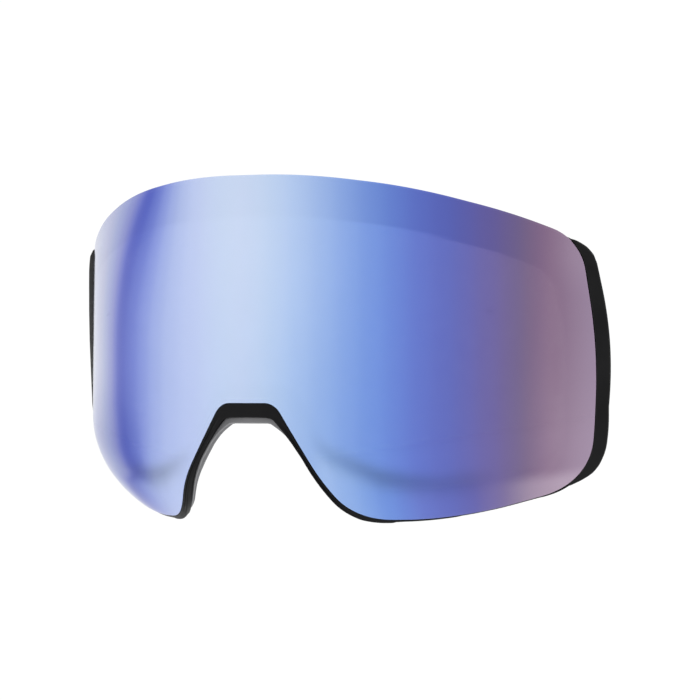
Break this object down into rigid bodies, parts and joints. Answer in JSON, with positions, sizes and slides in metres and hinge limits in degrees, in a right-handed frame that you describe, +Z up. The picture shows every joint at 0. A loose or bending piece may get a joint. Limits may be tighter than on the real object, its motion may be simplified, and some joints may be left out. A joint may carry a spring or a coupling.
{
  "type": "ski goggles lens unit",
  "caption": "Quick-change ski goggle lens unit: curved mirror lens with a nose notch, black carrier, foam-spaced inner lens, temple wings, magnets and sprung latches.",
  "frame": {"origin": "centre of the unit's bounding box, on its plane of symmetry", "axes": "+X to the right as seen by someone facing the lens, +Y from the lens towards the wearer, +Z up"},
  "size_m": [0.1816, 0.0542, 0.0924],
  "materials": {
    "mirror_lens": "multilayer blue mirror coating on smooth polycarbonate, polished edge",
    "inner_lens": "smooth clear thermal lens with a light rose-grey tint",
    "bond_tape": "matt black double-sided foam tape",
    "foam": "matt dark grey closed-cell foam",
    "carrier_black": "satin black moulded plastic, fine grain",
    "nose_lip": "soft mid-grey satin elastomer",
    "wing_black": "satin black moulded plastic with a softly rounded outer edge",
    "filter_white": "sintered white breather membrane",
    "magnet_nickel": "bright nickel plate",
    "latch_black": "matt black glass-filled nylon",
    "latch_grey": "dark grey acetal",
    "latch_steel": "bright stainless steel"
  },
  "bodies": {
    "root": {"outer_lens": "mirror_lens", "inner_lens": "inner_lens", "lens_bond_tape": "bond_tape", "spacer_gasket": "foam", "carrier_frame": "carrier_black", "nose_seal": "nose_lip", "wing_left": "wing_black", "wing_right": "wing_black", "vent_filter": "filter_white", "brow_magnet_left": "magnet_nickel", "brow_magnet_right": "magnet_nickel", "upper_temple_magnet_left": "magnet_nickel", "upper_temple_magnet_right": "magnet_nickel", "lower_temple_magnet_left": "magnet_nickel", "lower_temple_magnet_right": "magnet_nickel", "nose_magnet_left": "magnet_nickel", "nose_magnet_right": "magnet_nickel", "latch_bracket_left": "latch_black", "latch_pin_left": "latch_steel", "latch_spring_left": "latch_steel", "latch_screw_upper_left": "latch_steel", "latch_screw_lower_left": "latch_steel", "latch_bracket_right": "latch_black", "latch_pin_right": "latch_steel", "latch_spring_right": "latch_steel", "latch_screw_upper_right": "latch_steel", "latch_screw_lower_right": "latch_steel"},
    "lever_left": {"latch_lever_left": "latch_grey"},
    "lever_right": {"latch_lever_right": "latch_grey"}
  },
  "joints": [
    {"name": "latch_right", "type": "hinge", "parent": "root", "child": "lever_right", "pos_m": [0.07689, 0.01847, -0.00366], "axis": [0, 0, 1], "range_deg": [0, 12], "stiffness_Nm_per_rad": 0.02, "springref_deg": -11.46},
    {"name": "latch_left", "type": "hinge", "parent": "root", "child": "lever_left", "pos_m": [-0.07689, 0.01847, -0.00366], "axis": [0, 0, -1], "range_deg": [0, 12], "stiffness_Nm_per_rad": 0.02, "springref_deg": -11.46}
  ]
}
